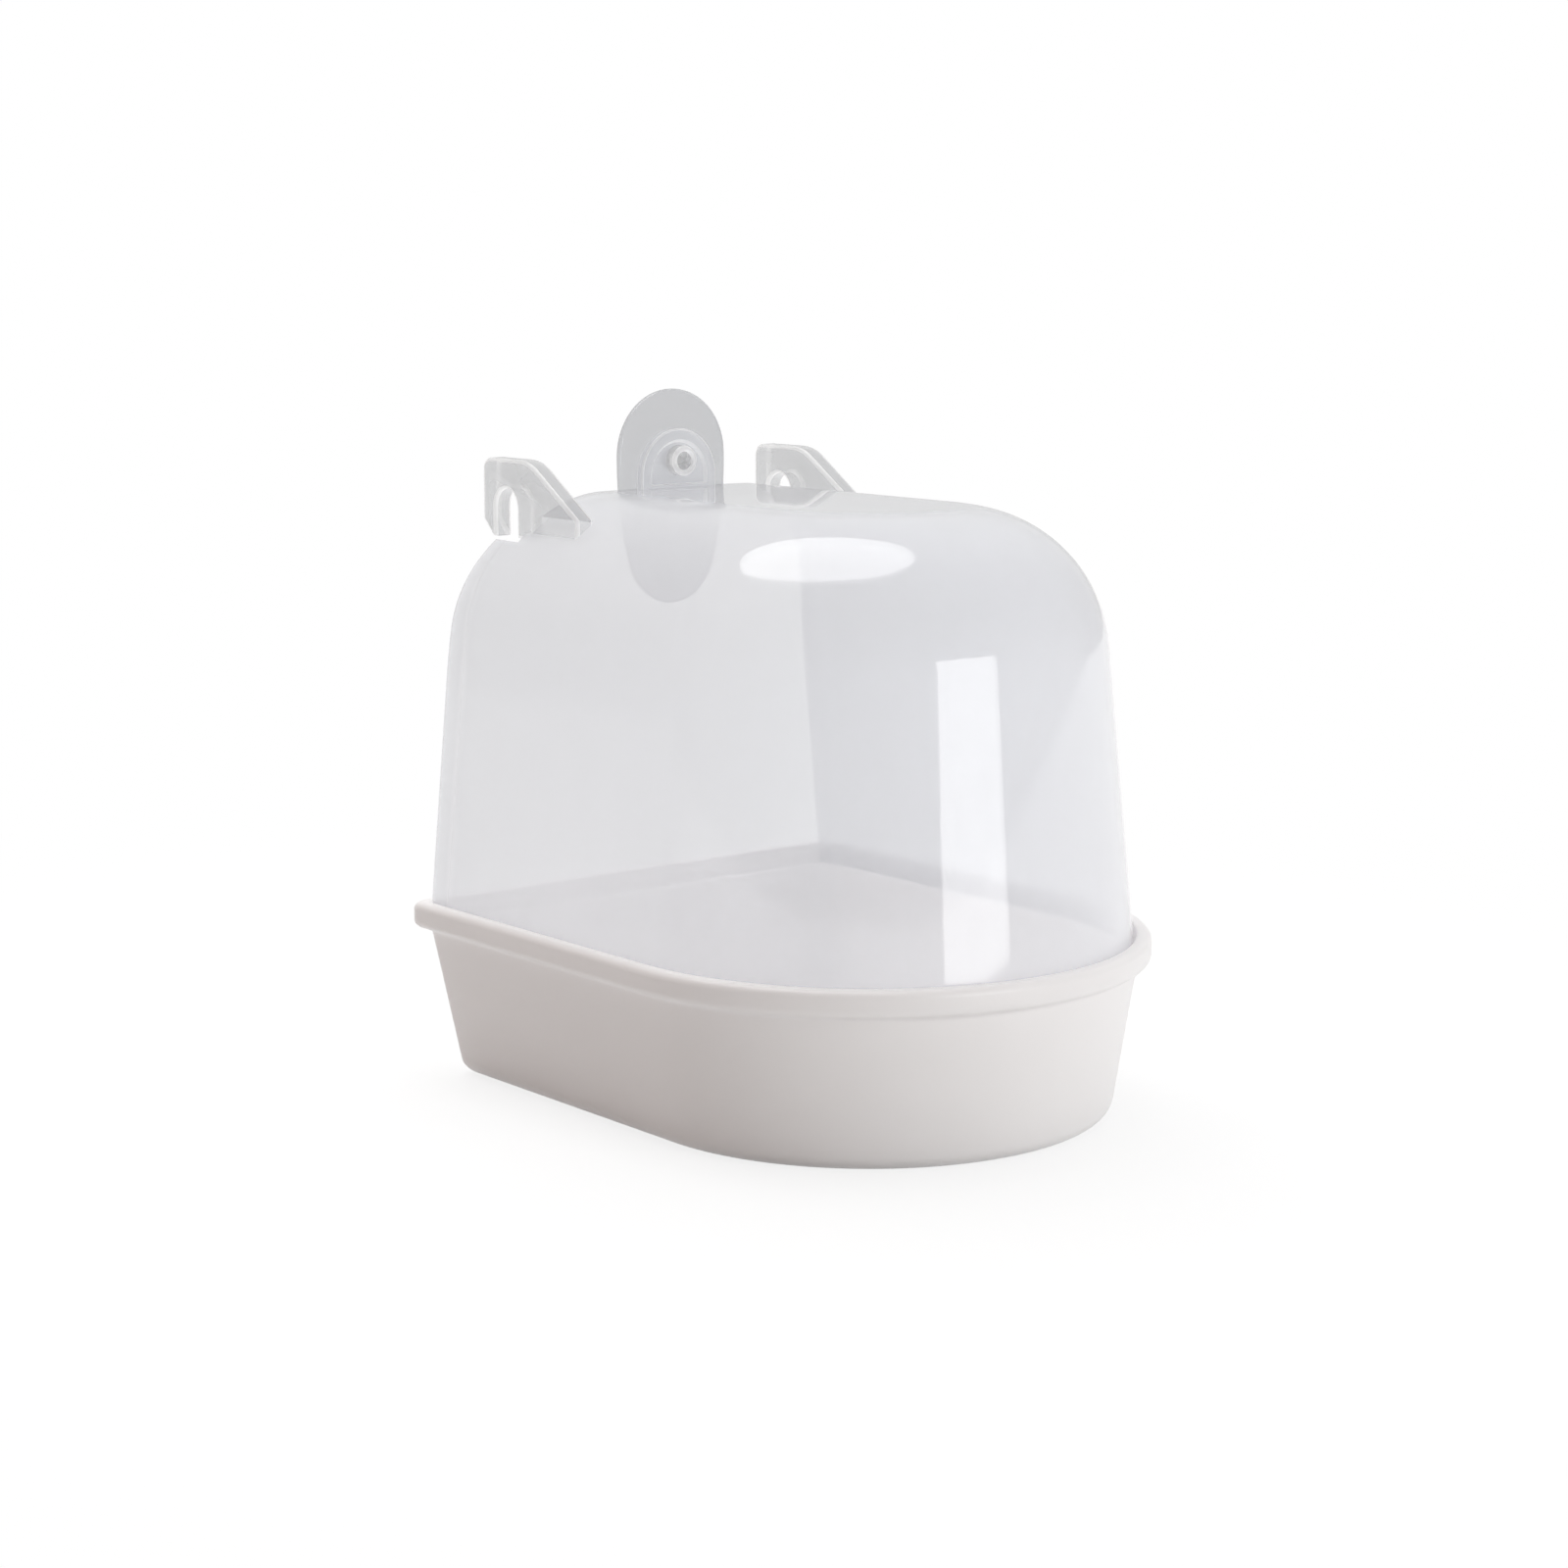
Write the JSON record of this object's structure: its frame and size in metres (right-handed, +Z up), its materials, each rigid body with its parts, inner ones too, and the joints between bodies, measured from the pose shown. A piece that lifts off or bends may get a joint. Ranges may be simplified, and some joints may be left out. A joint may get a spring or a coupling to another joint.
{
  "type": "cage bird bath",
  "caption": "Clip-on bath for a bird cage: a white D-shaped tub under a clear hood that is open towards the cage, with wire hooks and a turning oval latch plate.",
  "frame": {"origin": "under the middle of the tub, on the surface that it stands on", "axes": "+Z up, +Y from the rounded front to the open side that goes into the cage, +X to the right seen from the front"},
  "size_m": [0.138, 0.1658, 0.1707],
  "materials": {
    "tub_white": "opaque white moulded plastic, semi-gloss",
    "hood_clear": "clear moulded plastic, glossy",
    "latch_clear": "clear moulded plastic, slightly bluish",
    "stud_clear": "milky clear moulded plastic"
  },
  "bodies": {
    "tub": {"tub": "tub_white"},
    "hood": {"hood": "hood_clear"},
    "latch": {"latch_plate": "latch_clear", "latch_pin": "stud_clear"}
  },
  "joints": [
    {"name": "hood_lift", "type": "slide", "parent": "tub", "child": "hood", "axis": [0, 0, 1], "range_m": [0, 0.06]},
    {"name": "latch_turn", "type": "hinge", "parent": "hood", "child": "latch", "pos_m": [0, 0.062, 0.1527], "axis": [0, 1, 0], "continuous": true}
  ]
}
